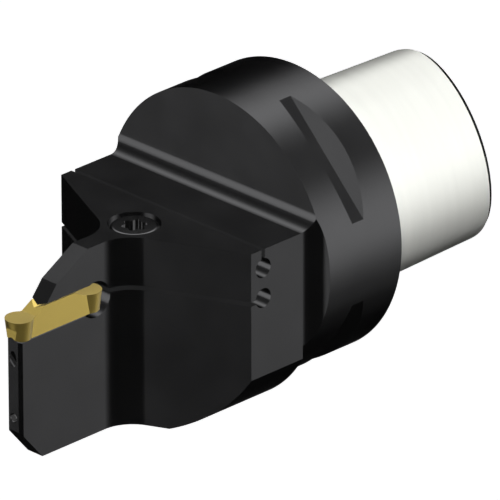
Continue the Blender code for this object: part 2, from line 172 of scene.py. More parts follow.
flange_radius = FLANGE_DIAMETER / 2
half_block = BLOCK_WIDTH / 2
half_blade = BLADE_THICKNESS / 2
blade_front = -BLADE_REACH
lead_in_start = SHANK_LENGTH - LEAD_IN_LENGTH
neck_side_floor = NECK_SIDE_DEPTH - FLANGE_THICKNESS
neck_side_start = neck_side_floor - NECK_SIDE_FILLET
neck_start = min(-FLANGE_THICKNESS - NECK_TOP_FILLET, neck_side_start)
block_rear = neck_side_start + NECK_OVERLAP
front_nose = blade_front - INSERT_OVERHANG + NOSE_RADIUS
rear_nose = front_nose + NOSE_SPACING
ramp_end = front_nose + RAMP_FROM_NOSE + RAMP_LENGTH
relief_hole = rear_nose + RELIEF_HOLE_SETBACK
jaw_foot = ramp_end + JAW_LIP
screw_top = BLOCK_TOP - SCREW_SINK
head_seat = screw_top - SCREW_HEAD_HEIGHT
screw_tip = -(SLIT_DROP + SCREW_BITE)
bore_end = SHANK_LENGTH - BORE_DEPTH
pull_thread_end = bore_end - PULL_THREAD_LENGTH
pull_thread_start = bore_end - (BORE_DIAMETER - PULL_THREAD_DIAMETER) / 2

AXIS_X = Vector((1, 0, 0))
AXIS_Y = Vector((0, 1, 0))
AXIS_Z = Vector((0, 0, 1))

# Edge tint of black oxide, as pairs of how grazing the view is (0 is square on) and the tint
EDGE_TINTS = [(0.10, 0.0), (0.20, 0.28), (0.35, 0.49), (0.50, 0.53), (0.70, 0.44),
              (0.80, 0.27), (0.86, 0.03), (0.88, 0.0)]
# The blend at which Layer Weight's Facing is 1 less the cosine of the view's angle
EVEN_BLEND = 0.5

# Tone of black oxide in the open, and a lower tone in gaps that is painted shade, not another
# oxide;
# the share by which its patches are darker or lighter, and its blue against its grey
OXIDE_LEVEL = 0.0163
PAINTED_GAP_SHADE_LEVEL = 0.0115
OXIDE_SPREAD = 0.05
OXIDE_BLUE = 1.024

# Grain: detail of the fine and the broad noise, how much broader the second is, and the part of
# 0 to 1 that a noise really spans
FINE_DETAIL = 3.0
BROAD_DETAIL = 4.0
BROAD_FACTOR = 40
NOISE_LOW, NOISE_HIGH = 0.3, 0.7

# The photograph's camera, in degrees, metres and millimetres of lens and sensor
CAMERA_AZIMUTH = 44.919
CAMERA_ELEVATION = 24.740
CAMERA_ROLL = 0.080
CAMERA_DISTANCE = 2.5952
CAMERA_LENS = 906.2
CAMERA_SENSOR = 36
CAMERA_CLIP_START, CAMERA_CLIP_END = 0.1, 100
# The point it looks at, in millimetres to the right of the frame's origin and above it
CAMERA_AIM_RIGHT, CAMERA_AIM_UP = -8.784, -9.833

# Floor, in metres, and how bright it and the world are; camera, gloss and glass see the world
# bright, and diffuse surfaces don't
FLOOR_HALF = 12.0
FLOOR_HEIGHT = -3.2
FLOOR_COLOUR = 0.9
FLOOR_ROUGHNESS = 0.8
FLOOR_GLOW = 0.98
WORLD_SEEN = 1.0
WORLD_UNSEEN = 0.024

# The place that lamp and cards stand round, the degrees between a card's points, and the lamp
AIM = Vector((0, -0.022, 0))
CARD_STEP = 2.0
LAMP = {"azimuth": 90, "elevation": 51, "distance": 1.4, "size": 0.8, "level": 0.8}
# Softboxes and dark flags: azimuth, elevation, half width, half height and soft edge in degrees,
# then radiance, and distance in metres
CARDS = {
    "side_softbox": (67.3, 44.1, 41.5, 39.6, 6.0, 12.0, 3.07),
    "front_right_flag": (63.5, -28.1, 64.8, 16.4, 6.0, 0.08, 3.06),
    "left_flag": (-102.9, -14.8, 60.0, 50.0, 6.9, 0.10, 3.05),
    "under_flag": (-4.6, -90.0, 26.9, 43.0, 6.0, 0.09, 3.04),
    "back_left_flag": (-147.8, 24.1, 9.1, 24.7, 6.0, 0.0, 3.03),
    "top_softbox": (-137.4, 53.7, 26.8, 16.0, 28.1, 9.0, 3.02),
    "right_softbox": (141.3, -1.3, 16.9, 20.1, 33.0, 9.0, 3.01),
    "front_softbox": (-21.0, -2.4, 24.0, 19.5, 6.0, 8.14, 3.00),
}


# Mesh making
def mesh_object(name, bm):
    """Turn a bmesh into an object in the scene."""
    bmesh.ops.recalc_face_normals(bm, faces=bm.faces)
    mesh = bpy.data.meshes.new(name)
    bm.to_mesh(mesh)
    bm.free()
    obj = bpy.data.objects.new(name, mesh)
    bpy.context.scene.collection.objects.link(obj)
    return obj


def loft(name, rings):
    """Return a closed object with flat ends that joins rings of points in turn."""
    bm = bmesh.new()
    loops = [[bm.verts.new(point) for point in ring] for ring in rings]
    count = len(loops[0])
    for lower, upper in zip(loops, loops[1:]):
        for i in range(count):
            j = (i + 1) % count
            bm.faces.new((lower[i], lower[j], upper[j], upper[i]))
    bm.faces.new(reversed(loops[0]))
    bm.faces.new(loops[-1])
    return mesh_object(name, bm)


def place_flat(axis, along, u, v):
    """Put a point of a flat outline into space, at a distance along an axis."""
    if axis == "X":
        return Vector((along, u, v))
    if axis == "Y":
        return Vector((u, along, v))
    return Vector((u, v, along))


def prism(name, outline, axis, start, end):
    """Extrude a flat outline along X, Y or Z."""
    return loft(name, [[place_flat(axis, a, u, v) for u, v in outline] for a in (start, end)])


def turned(name, profile, base, direction, segments):
    """Turn a profile of (distance, radius) pairs about the line from base along direction."""
    axis = direction.normalized()
    side = axis.orthogonal().normalized()
    other = axis.cross(side)
    turns = [2 * pi * i / segments for i in range(segments)]
    return loft(name, [
        [base + axis * along + (side * cos(t) + other * sin(t)) * radius for t in turns]
        for along, radius in profile
    ])


def drilling(name, start, end, diameter, segments):
    """Return a plain round cutter between two points."""
    line = end - start
    return turned(name, [(0, diameter / 2), (line.length, diameter / 2)], start, line, segments)


def arc(centre, radius, start, end, steps):
    """Return points along an arc in a flat outline, both ends included."""
    angles = [start + (end - start) * i / steps for i in range(steps + 1)]
    return [(centre[0] + radius * cos(a), centre[1] + radius * sin(a)) for a in angles]


def mirrored(right_half):
    """Complete an outline that runs up or down the side where its first value is positive."""
    return right_half + [(-u, v) for u, v in reversed(right_half)]


def combine(target, tool, operation):
    """Join, cut or intersect target with tool, and remove the tool."""
    modifier = target.modifiers.new(operation.title(), "BOOLEAN")
    modifier.operation = operation
    modifier.solver = "EXACT"
    modifier.object = tool
    depsgraph = bpy.context.evaluated_depsgraph_get()
    result = bpy.data.meshes.new_from_object(target.evaluated_get(depsgraph))
    target.modifiers.clear()
    target.data = result
    bpy.data.objects.remove(tool, do_unlink=True)


# Shank, flange, block and blade
def polygon_section(diameter, along):
    """Return the shank's three-lobed section at a distance along the tool axis."""
    points = []
    for i in range(TURNED_SEGMENTS):
        t = 2 * pi * i / TURNED_SEGMENTS
        u = diameter / 2 * cos(t) + LOBE_ECCENTRICITY * (cos(4 * t) - 2 * cos(2 * t))
        v = diameter / 2 * sin(t) + LOBE_ECCENTRICITY * (sin(4 * t) + 2 * sin(2 * t))
        x = u * cos(LOBE_TURN) - v * sin(LOBE_TURN)
        z = u * sin(LOBE_TURN) + v * cos(LOBE_TURN)
        points.append(Vector((x, along, z)))
    return points


def make_shank():
    """The tapered polygon, starting inside the flange, with its lead-in."""
    return loft("shank", [
        polygon_section(SHANK_DIAMETER - SHANK_TAPER * along - drop, along)
        for along, drop in ((-CUT_PAST, 0), (lead_in_start, 0), (SHANK_LENGTH, 2 * LEAD_IN_DROP))
    ])


def neck_outline(level, fillet, floor):
    """Outline of one cut around the neck: level with a block face, then curving out to the floor.

    It starts a little under the block's face, where the neck and the block are joined.
    """
    start = floor - fillet
    front = neck_start - 2 * CUT_PAST
    past = flange_radius + CUT_PAST
    outline = [(front, level - NECK_SINK), (start - NECK_RUN_IN, level - NECK_SINK)]
    for i in range(1, FILLET_STEPS + 1):
        turn = pi / 2 * i / FILLET_STEPS
        outline.append((start + fillet * sin(turn), level + fillet * (1 - cos(turn))))
    return outline + [(floor, past), (front, past)]


def neck_cutters():
    """What is cut away above the neck, and deeper into the flange on both sides of it."""
    past = flange_radius + CUT_PAST
    above = neck_outline(BLOCK_TOP, NECK_TOP_FILLET, -FLANGE_THICKNESS)
    yield prism("above_neck", above, "X", -past, past)
    for side in (-1, 1):
        outline = neck_outline(half_block, NECK_SIDE_FILLET, neck_side_floor)
        beside = [(side * v, u) for u, v in outline]
        yield prism("beside_neck", beside, "Z", -past, past)


def make_block():
    """Block and blade in one: plan, cross section and side view cut into each other."""
    sweep_c, sweep_s = cos(FRONT_SWEEP), sin(FRONT_SWEEP)
    root_x = half_blade + ROOT_FILLET
    root_y = -BLOCK_REACH - ((half_block - root_x) * sweep_s + ROOT_FILLET) / sweep_c
    plan = [
        (half_blade - BLADE_EDGE_CHAMFER, blade_front),
        (half_blade, blade_front + BLADE_EDGE_CHAMFER),
        *arc((root_x, root_y), ROOT_FILLET, pi, pi / 2 + FRONT_SWEEP, 2 * FILLET_STEPS),
        (half_block, -BLOCK_REACH),
        (half_block, block_rear),
    ]
    block = prism("block", mirrored(plan), "Z", -flange_radius - 3 * CUT_PAST, BLOCK_TOP)

    section = [
        *arc((0, -UNDERSIDE_DROP), UNDERSIDE_RADIUS, -pi, 0, TURNED_SEGMENTS // 2),
        (UNDERSIDE_RADIUS, BLOCK_TOP + CUT_PAST),
        (-UNDERSIDE_RADIUS, BLOCK_TOP + CUT_PAST),
    ]
    past_front = blade_front - CUT_PAST
    section_tool = prism("section", section, "Y", past_front, block_rear + CUT_PAST)
    combine(block, section_tool, "INTERSECT")

    jaw_seat = INSERT_RIDGE + SEAT_GAP
    slope_foot = (jaw_foot + JAW_NOSE_LENGTH, jaw_seat + JAW_NOSE_HEIGHT)
    nose_run = JAW_NOSE_LENGTH / JAW_NOSE_HEIGHT
    side_view = [
        (blade_front, -(BLOCK_BOTTOM - BLADE_TOE_HEIGHT)),
        (blade_front + BLADE_TOE_LENGTH, -BLOCK_BOTTOM),
        (block_rear + CUT_PAST, -BLOCK_BOTTOM),
        (block_rear + CUT_PAST, BLOCK_TOP + CUT_PAST),
        (slope_foot[0] + JAW_SLOPE_LENGTH, BLOCK_TOP + CUT_PAST),
        (slope_foot[0] + JAW_SLOPE_LENGTH, BLOCK_TOP),
        slope_foot,
        (jaw_foot - jaw_seat * nose_run, 0),
        (blade_front, 0),
    ]
    wide = half_block + CUT_PAST
    combine(block, prism("side_view", side_view, "X", -wide, wide), "INTERSECT")
    return block


def grip_cutter(turn):
    """One gripper groove: a straight cut across the flange with leaning walls."""
    floor = flange_radius - GRIP_DEPTH
    height = GRIP_DEPTH + CUT_PAST
    spread = GRIP_FLAT / 2 + height * tan(GRIP_WALL_LEAN)
    outline = [
        (-GRIP_FROM_FACE - GRIP_FLAT / 2, floor),
        (-GRIP_FROM_FACE + GRIP_FLAT / 2, floor),
        (-GRIP_FROM_FACE + spread, floor + height),
        (-GRIP_FROM_FACE - spread, floor + height),
    ]
    half_chord = sqrt(flange_radius**2 - floor**2) + CUT_PAST
    cutter = prism("grip", outline, "X", -half_chord, half_chord)
    cutter.matrix_world = Matrix.Rotation(turn, 4, "Y")
    return cutter


def drawbar_bore_cutter():
    """The hollow of the shank, from its open end to the end of the pull thread."""
    bore = BORE_DIAMETER / 2
    groove = GROOVE_DIAMETER / 2
    thread = PULL_THREAD_DIAMETER / 2
    groove_start = GROOVE_FROM_END
    groove_end = GROOVE_FROM_END + GROOVE_WIDTH
    profile = [
        (-CUT_PAST, bore + BORE_MOUTH_CHAMFER + CUT_PAST),
        (BORE_MOUTH_CHAMFER, bore),
        (groove_start, bore),
        (groove_start + GROOVE_FLANK, groove),
        (groove_end - GROOVE_FLANK, groove),
        (groove_end, bore),
        (BORE_DEPTH, bore),
        (BORE_DEPTH + bore - thread, thread),
        (SHANK_LENGTH - pull_thread_end, thread),
        (SHANK_LENGTH - pull_thread_end + thread - SUPPLY_DIAMETER / 2, SUPPLY_DIAMETER / 2),
    ]
    return turned("drawbar_bore", profile, AXIS_Y * SHANK_LENGTH, -AXIS_Y, HOLE_SEGMENTS * 2)


def seat_cutter():
    """The insert's seat: a through pocket whose floor and roof are shallow ridges."""
    roof = INSERT_RIDGE + SEAT_GAP
    floor = -INSERT_DEPTH - SEAT_GAP
    rail = INSERT_BODY_WIDTH / 2
    wide = NOSE_RADIUS + CUT_PAST
    right_half = [(0, floor + RAIL_VEE), (rail, floor), (wide, floor), (wide, roof), (rail, roof)]
    outline = right_half + [(0, roof - RAIL_VEE)] + [(-u, v) for u, v in reversed(right_half[1:])]
    past_front = front_nose - NOSE_RADIUS - CUT_PAST
    return prism("seat", outline, "Y", past_front, relief_hole)


def screw_hole_cutter():
    """Counterbore in the arm, and the hole that goes on down into the block."""
    hole = SCREW_DIAMETER / 2 + SEAT_GAP
    counterbore = COUNTERBORE_DIAMETER / 2
    floor = BLOCK_TOP + CUT_PAST - (head_seat - SEAT_GAP)
    profile = [
        (0, counterbore),
        (floor, counterbore),
        (floor, hole),
        (BLOCK_TOP + CUT_PAST - screw_tip + SCREW_HOLE_EXTRA, hole),
    ]
    top = Vector((0, -SCREW_REACH, BLOCK_TOP + CUT_PAST))
    return turned("screw_hole", profile, top, -AXIS_Z, HOLE_SEGMENTS)


def arm_cutters():
    """Relief hole, the two web holes and the two slits that free the clamping arm."""
    wide = half_block + CUT_PAST
    across = AXIS_X * wide
    slit = SLIT_WIDTH / 2
    for name, along, height, diameter in (
        ("relief_hole", relief_hole, -RELIEF_HOLE_DROP, RELIEF_HOLE_DIAMETER),
        ("upper_web_hole", -WEB_REACH, WEB_HOLE_RISE, WEB_HOLE_DIAMETER),
        ("lower_web_hole", -WEB_REACH, WEB_HOLE_RISE - WEB_HOLE_SPACING, WEB_HOLE_DIAMETER),
    ):
        centre = Vector((0, along, height))
        yield drilling(name, centre - across, centre + across, diameter, HOLE_SEGMENTS)
    upper = [
        (-WEB_REACH - slit, WEB_HOLE_RISE),
        (-WEB_REACH + slit, WEB_HOLE_RISE),
        (-WEB_REACH + slit, BLOCK_TOP + CUT_PAST),
        (-WEB_REACH - slit, BLOCK_TOP + CUT_PAST),
    ]
    yield prism("upper_slit", upper, "X", -wide, wide)
    lower = [
        (relief_hole, -SLIT_DROP - slit),
        (-WEB_REACH, -SLIT_DROP - slit),
        (-WEB_REACH, -SLIT_DROP + slit),
        (relief_hole, -SLIT_DROP + slit),
    ]
    yield prism("lower_slit", lower, "X", -wide, wide)


def coolant_cutters():
    """Supply duct, the long drilling from the blade's front, and the outlet under the insert."""
    drilling_end = Vector((0, -SUPPLY_END_REACH, -DRILLING_DROP))
    supply_start = Vector((0, pull_thread_end, 0))
    yield drilling("supply", supply_start, drilling_end, SUPPLY_DIAMETER, SMALL_HOLE_SEGMENTS)
    front = Vector((0, blade_front - CUT_PAST, -DRILLING_DROP))
    yield drilling("long_drilling", front, drilling_end, DRILLING_DIAMETER, SMALL_HOLE_SEGMENTS)
    outward = Vector((0, -cos(OUTLET_TILT), sin(OUTLET_TILT)))
    mouth = Vector((0, blade_front, -OUTLET_DROP))
    run = (DRILLING_DROP - OUTLET_DROP) / sin(OUTLET_TILT)
    start = mouth + outward * (CUT_PAST + OUTLET_DIAMETER)
    end = mouth - outward * run
    yield drilling("outlet", start, end, OUTLET_DIAMETER, SMALL_HOLE_SEGMENTS)


def helix_ridge(name, base, axis, wall, crest, pitch, length, sink):
    """A thread ridge wound along axis, from its foot in the metal up to its crest.

    sink is how much larger the foot's radius is than the wall's: over 0 in a bore, where the
    metal is outside, and under 0 on a screw.
    """
    side = axis.orthogonal().normalized()
    other = axis.cross(side)
    turns = length / pitch
    steps = int(turns * THREAD_STEPS)
    flank = pitch * THREAD_FLANK_SHARE
    land = pitch * THREAD_LAND_SHARE
    rings = []
    for i in range(steps + 1):
        t = 2 * pi * turns * i / steps
        risen = min(1.0, min(i, steps - i) / (THREAD_STEPS * THREAD_RUN_OUT))
        height = wall + (crest - wall) * risen
        radial = side * cos(t) + other * sin(t)
        middle = base + axis * (length * i / steps)
        rings.append([
            middle + radial * (wall + sink) - axis * flank,
            middle + radial * height - axis * land,
            middle + radial * height + axis * land,
            middle + radial * (wall + sink) + axis * flank,
        ])
    return loft(name, rings)


def pull_thread_ridge():
    """The thread at the end of the drawbar bore."""
    wall = PULL_THREAD_DIAMETER / 2
    length = pull_thread_start - pull_thread_end - 2 * THREAD_RUN_IN
    base = AXIS_Y * (pull_thread_end + THREAD_RUN_IN)
    crest = wall - THREAD_DEPTH_SHARE * PULL_THREAD_PITCH
    return helix_ridge("pull_thread_ridge", base, AXIS_Y, wall, crest, PULL_THREAD_PITCH,
                       length, THREAD_SINK)


def is_ground(face):
    """Whether a face is bright: the outside of the taper, and the contact face around it."""
    along = face.center.y
    across = hypot(face.center.x, face.center.z)
    on_contact_face = abs(along) < FLAT_LIMIT and face.normal.y > FACING_LIMIT
    return on_contact_face or (0 < along < lead_in_start and across > GROOVE_DIAMETER / 2)


def is_painted_shade_gap(face):
    """Whether a face lies in the upper slit or under the insert, which get painted shade: a darker
    oxide tone where little light gets in.
    """
    across, along, up = face.center
    in_slit = abs(abs(along + WEB_REACH) - SLIT_WIDTH / 2) < FLAT_LIMIT and up > WEB_HOLE_RISE
    seat_floor = -INSERT_DEPTH - SEAT_GAP
    under_insert = (seat_floor - FLAT_LIMIT < up < seat_floor + RAIL_VEE + FLAT_LIMIT
                    and abs(across) < NOSE_RADIUS and along < relief_hole
                    and face.normal.z > FACING_LIMIT)
    return in_slit or under_insert


def body_cutters():
    """Everything that is cut from the joined body, in turn."""
    for i in range(GRIP_COUNT):
        yield grip_cutter(2 * pi * (i + 0.5) / GRIP_COUNT)
    yield drawbar_bore_cutter()
    yield seat_cutter()
    yield screw_hole_cutter()
    yield from arm_cutters()
    yield from coolant_cutters()


def make_tool_body():
    """Shank, flange, block, blade and clamping arm: one machined piece."""
    stock = [(neck_start - NECK_RUN_IN, flange_radius), (0, flange_radius)]
    body = turned("machined_body", stock, Vector((0, 0, 0)), AXIS_Y, TURNED_SEGMENTS)
    for cutter in neck_cutters():
        combine(body, cutter, "DIFFERENCE")
    combine(body, make_shank(), "UNION")
    combine(body, make_block(), "UNION")
    for cutter in body_cutters():
        combine(body, cutter, "DIFFERENCE")
    combine(body, pull_thread_ridge(), "UNION")
    return body


# Insert, screw and plug
def insert_nose(along):
    """One round nose, narrowing downwards at its relief angle."""
    foot_radius = NOSE_RADIUS - INSERT_DEPTH * tan(NOSE_RELIEF)
    profile = [(0, foot_radius), (INSERT_DEPTH, NOSE_RADIUS)]
    base = Vector((0, along, -INSERT_DEPTH))
    return turned("nose", profile, base, AXIS_Z, HOLE_SEGMENTS * 2)


def nose_flat_cutter(along, outward):
    """The flat below a nose's relief, cut across the tip of its lower part."""
    tip = along + outward * NOSE_RADIUS
    flat = tip - outward * NOSE_FLAT_SETBACK
    flat_top = -INSERT_DEPTH + NOSE_FLAT_HEIGHT
    past = tip + outward * CUT_PAST
    outline = [
        (flat, -INSERT_DEPTH - CUT_PAST),
        (flat, flat_top),
        (tip, flat_top + NOSE_FLAT_RUN_OUT),
        (past, flat_top + NOSE_FLAT_RUN_OUT),
        (past, -INSERT_DEPTH - CUT_PAST),
    ]
    return prism("nose_flat", outline, "X", -NOSE_RADIUS, NOSE_RADIUS)


def make_insert():
    """The double-ended insert: a grooved rail between two round noses."""
    middle = (front_nose + rear_nose) / 2
    half = NOSE_SPACING / 2
    ramp_foot = half - RAMP_FROM_NOSE
    ramp_top = ramp_foot - RAMP_LENGTH
    right_half = [(half, -INSERT_DEPTH), (half, 0), (ramp_foot, 0), (ramp_top, INSERT_RIDGE)]
    outline = [(middle + u, v) for u, v in mirrored(right_half)]
    rail = INSERT_BODY_WIDTH / 2
    insert = prism("coated_insert", outline, "X", -rail, rail)
    for along in (front_nose, rear_nose):
        combine(insert, insert_nose(along), "UNION")
    for height, up in ((INSERT_RIDGE, 1), (-INSERT_DEPTH, -1)):
        past = (CUT_PAST / RAIL_VEE + 1) * rail
        vee = [(0, height - up * RAIL_VEE), (past, height + up * CUT_PAST),
               (-past, height + up * CUT_PAST)]
        reach = half + 2 * NOSE_RADIUS
        combine(insert, prism("vee", vee, "Y", middle - reach, middle + reach), "DIFFERENCE")
    for along, outward in ((front_nose, -1), (rear_nose, 1)):
        combine(insert, nose_flat_cutter(along, outward), "DIFFERENCE")
    return insert


def make_screw():
    """The clamping screw, head up, with a six-lobed socket."""
    head = SCREW_HEAD_DIAMETER / 2
    crest = SCREW_DIAMETER / 2
    root = crest - THREAD_DEPTH_SHARE * SCREW_PITCH
    head_end = SCREW_HEAD_HEIGHT
    tip = screw_top - screw_tip
    profile = []
    for i in range(FILLET_STEPS + 1):
        turn = pi / 2 * i / FILLET_STEPS
        across = head - SCREW_HEAD_ROUND + SCREW_HEAD_ROUND * sin(turn)
        profile.append((SCREW_HEAD_ROUND * (1 - cos(turn)), across))
    profile += [
        (head_end, head),
        (head_end, root),
        (tip - SCREW_TIP_CHAMFER, root),
        (tip, root - SCREW_TIP_CHAMFER),
    ]
    top = Vector((0, -SCREW_REACH, screw_top))
    screw = turned("socket_screw", profile, top, -AXIS_Z, HOLE_SEGMENTS)
    thread_base = top - AXIS_Z * (head_end + THREAD_RUN_IN)
    thread_length = tip - SCREW_TIP_CHAMFER - head_end - 2 * THREAD_RUN_IN
    thread = helix_ridge("screw_thread", thread_base, -AXIS_Z, root, crest, SCREW_PITCH,
                         thread_length, -THREAD_SINK)
    combine(screw, thread, "UNION")
    mean = (SOCKET_ACROSS + SOCKET_WAIST) / 4
    swing = (SOCKET_ACROSS - SOCKET_WAIST) / 4
    steps = SOCKET_LOBES * LOBE_STEPS
    socket = []
    for i in range(steps):
        t = 2 * pi * i / steps
        radius = mean + swing * cos(SOCKET_LOBES * t)
        socket.append((radius * cos(t), radius * sin(t) - SCREW_REACH))
    floor = screw_top - SOCKET_DEPTH
    combine(screw, prism("socket", socket, "Z", floor, screw_top + CUT_PAST), "DIFFERENCE")
    return screw


def make_plug():
    """The round plug that closes the long coolant drilling at the blade's front."""
    radius = DRILLING_DIAMETER / 2 - SEAT_GAP
    start = Vector((0, blade_front, -DRILLING_DROP))
    return turned("duct_plug", [(0, radius), (PLUG_LENGTH, radius)], start, AXIS_Y,
                  SMALL_HOLE_SEGMENTS)


# Materials
def metal(name, colour, roughness, edge_tint=1.0, metallic=1.0):
    """Return a Principled material for metal, and its shader."""
    material = bpy.data.materials.new(name)
    material.use_nodes = True
    shader = material.node_tree.nodes["Principled BSDF"]
    shader.inputs["Base Color"].default_value = (*colour, 1.0)
    shader.inputs["Metallic"].default_value = metallic
    shader.inputs["Roughness"].default_value = roughness
    shader.inputs["Specular Tint"].default_value = (edge_tint, edge_tint, edge_tint, 1.0)
    return material, shader


def add_grain(material, shader, scale, depth, roughness, colours, stretch=(1, 1, 1)):
    """Fine grain: a bump, and small changes of roughness and colour in broader patches.

    Roughness and colours are each a pair, from the lowest to the highest.
    """
    nodes, links = material.node_tree.nodes, material.node_tree.links
    coordinates = nodes.new("ShaderNodeTexCoord")
    mapping = nodes.new("ShaderNodeMapping")
    mapping.inputs["Scale"].default_value = stretch
    links.new(coordinates.outputs["Object"], mapping.inputs["Vector"])
    fine = nodes.new("ShaderNodeTexNoise")
    fine.inputs["Scale"].default_value = scale
    fine.inputs["Detail"].default_value = FINE_DETAIL
    links.new(mapping.outputs["Vector"], fine.inputs["Vector"])
    bump = nodes.new("ShaderNodeBump")
    bump.inputs["Distance"].default_value = depth
    links.new(fine.outputs["Fac"], bump.inputs["Height"])
    links.new(bump.outputs["Normal"], shader.inputs["Normal"])
    broad = nodes.new("ShaderNodeTexNoise")
    broad.inputs["Scale"].default_value = scale / BROAD_FACTOR
    broad.inputs["Detail"].default_value = BROAD_DETAIL
    links.new(mapping.outputs["Vector"], broad.inputs["Vector"])
    rough = nodes.new("ShaderNodeMapRange")
    rough.inputs["From Min"].default_value = NOISE_LOW
    rough.inputs["From Max"].default_value = NOISE_HIGH
    rough.inputs["To Min"].default_value = roughness[0]
    rough.inputs["To Max"].default_value = roughness[1]
    links.new(broad.outputs["Fac"], rough.inputs["Value"])
    links.new(rough.outputs["Result"], shader.inputs["Roughness"])
    ramp = nodes.new("ShaderNodeValToRGB")
    stops = ramp.color_ramp.elements
    for stop, place, colour in zip(stops, (NOISE_LOW, NOISE_HIGH), colours):
        stop.position = place
        stop.color = (*colour, 1.0)
    links.new(broad.outputs["Fac"], ramp.inputs["Fac"])
    links.new(ramp.outputs["Color"], shader.inputs["Base Color"])


def keep_edges_dark(material, shader):
    """Lower the edge tint towards grazing views, where oxide's rough skin stays dark."""
    nodes, links = material.node_tree.nodes, material.node_tree.links
    weight = nodes.new("ShaderNodeLayerWeight")
    weight.inputs["Blend"].default_value = EVEN_BLEND
    ramp = nodes.new("ShaderNodeValToRGB")
    stops = ramp.color_ramp.elements
    for place, tint in EDGE_TINTS[1:-1]:
        stops.new(place)
    for stop, (place, tint) in zip(stops, EDGE_TINTS):
        stop.position = place
        stop.color = (tint, tint, tint, 1)
    links.new(weight.outputs["Facing"], ramp.inputs["Fac"])
    links.new(ramp.outputs["Color"], shader.inputs["Specular Tint"])


def black_oxide(name, level):
    """Blackened steel; level is how much light it gives back, square on."""
    middle, dark, light = [
        (tone, tone, tone * OXIDE_BLUE)
        for tone in (level, (1 - OXIDE_SPREAD) * level, (1 + OXIDE_SPREAD) * level)
    ]
    material, shader = metal(name, middle, roughness=0.225, edge_tint=0.5)
    keep_edges_dark(material, shader)
    add_grain(material, shader, scale=4000, depth=0.001 * MM, roughness=(0.21, 0.24),
              colours=(dark, light))
    return material


def ground_steel():
    """Bright steel, ground in turns about the tool axis, so that its shine spreads along it."""
    material, shader = metal("ground_taper", (0.512, 0.516, 0.488), roughness=0.49,
                             metallic=0.27)
    shader.inputs["Specular IOR Level"].default_value = 0.0
    shader.inputs["Anisotropic"].default_value = 0.657
    along_axis = material.node_tree.nodes.new("ShaderNodeCombineXYZ")
    along_axis.inputs["Y"].default_value = 1.0
    material.node_tree.links.new(along_axis.outputs[0], shader.inputs["Tangent"])
    add_grain(material, shader, scale=1500, depth=0.002 * MM, roughness=(0.475, 0.505),
              colours=((0.498, 0.502, 0.475), (0.526, 0.530, 0.501)), stretch=(1, 12, 1))
    return material


def gold_coating():
    """The insert's satin gold coating."""
    material, shader = metal("gold_coating", (0.204, 0.153, 0.037), roughness=0.33,
                             metallic=0.65)
    shader.inputs["Specular IOR Level"].default_value = 0.0
    add_grain(material, shader, scale=6000, depth=0.003 * MM, roughness=(0.31, 0.35),
              colours=((0.198, 0.148, 0.036), (0.210, 0.158, 0.038)))
    return material


def screw_steel():
    """The clamping screw's blackened steel, a little smoother and lighter than the body's."""
    material, shader = metal("blackened_screw", (0.0255, 0.0255, 0.026), roughness=0.18,
                             edge_tint=0.5)
    add_grain(material, shader, scale=5000, depth=0.001 * MM, roughness=(0.165, 0.20),
              colours=((0.0243, 0.0243, 0.0248), (0.0267, 0.0267, 0.0272)))
    return material


def plug_metal():
    """The coolant plug's metal, which mirrors least."""
    material, shader = metal("plug_metal", (0.024, 0.024, 0.024), roughness=0.3, edge_tint=0.3)
    add_grain(material, shader, scale=5000, depth=0.002 * MM, roughness=(0.27, 0.33),
              colours=((0.0225, 0.0225, 0.0225), (0.0255, 0.0255, 0.0255)))
    return material


def drop_slivers(mesh):
    """Take out the faces without area that cuts along a shared edge leave behind."""
    bm = bmesh.new()
    bm.from_mesh(mesh)
    bmesh.ops.dissolve_degenerate(bm, dist=SLIVER_LIMIT, edges=bm.edges)
    bmesh.ops.triangulate(bm, faces=[face for face in bm.faces if len(face.verts) > 4])
    flat = [face for face in bm.faces if face.calc_area() < SLIVER_LIMIT**2]
    bmesh.ops.delete(bm, geom=flat, context="FACES_ONLY")
    bmesh.ops.remove_doubles(bm, verts=bm.verts, dist=SLIVER_LIMIT)
    bm.to_mesh(mesh)
    bm.free()


def dress(obj, slot, replaced, *materials):
    """Give a piece its materials and shading, and tie it to the CAD frame.

    The pieces don't show in each other's reflections, which hold the studio alone.
    """
    drop_slivers(obj.data)
    obj.data.materials.clear()
    for material in materials:
        obj.data.materials.append(material)
    obj.data.shade_smooth()
    obj.data.set_sharp_from_angle(angle=SHARP_ANGLE)
    obj.data.name = obj.name
    obj.visible_glossy = False
    weighted = obj.modifiers.new("face_weights", "WEIGHTED_NORMAL")
    weighted.mode = "FACE_AREA"
    weighted.weight = NORMAL_WEIGHT
    weighted.keep_sharp = True
    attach(obj, BODY)
    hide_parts(replaced)


# Studio
def direction(azimuth, elevation):
    """Unit vector towards a place round the object: azimuth 0 is -Y, 90 is +X."""
    a, e = radians(azimuth), radians(elevation)
    return Vector((cos(e) * sin(a), -cos(e) * cos(a), sin(e)))


def sideways(azimuth):
    """Level unit vector to the right, as seen from a place at that azimuth."""
    a = radians(azimuth)
    return Vector((cos(a), sin(a), 0))


def smooth_step(value):
    """Ease from 0 to 1 as value goes from 0 to 1, and hold outside."""
    value = min(max(value, 0.0), 1.0)
    return value * value * (3 - 2 * value)


def card_material(name, radiance):
    """Even light that fades out where the card's own attribute, cover, falls to 0."""
    material = bpy.data.materials.new(name)
    material.use_nodes = True
    material.cycles.emission_sampling = "NONE"
    nodes, links = material.node_tree.nodes, material.node_tree.links
    nodes.clear()
    cover = nodes.new("ShaderNodeAttribute")
    cover.attribute_name = "cover"
    clear = nodes.new("ShaderNodeBsdfTransparent")
    glow = nodes.new("ShaderNodeEmission")
    glow.inputs["Strength"].default_value = radiance
    mix = nodes.new("ShaderNodeMixShader")
    out = nodes.new("ShaderNodeOutputMaterial")
    links.new(cover.outputs["Fac"], mix.inputs[0])
    links.new(clear.outputs[0], mix.inputs[1])
    links.new(glow.outputs[0], mix.inputs[2])
    links.new(mix.outputs[0], out.inputs["Surface"])
    return material


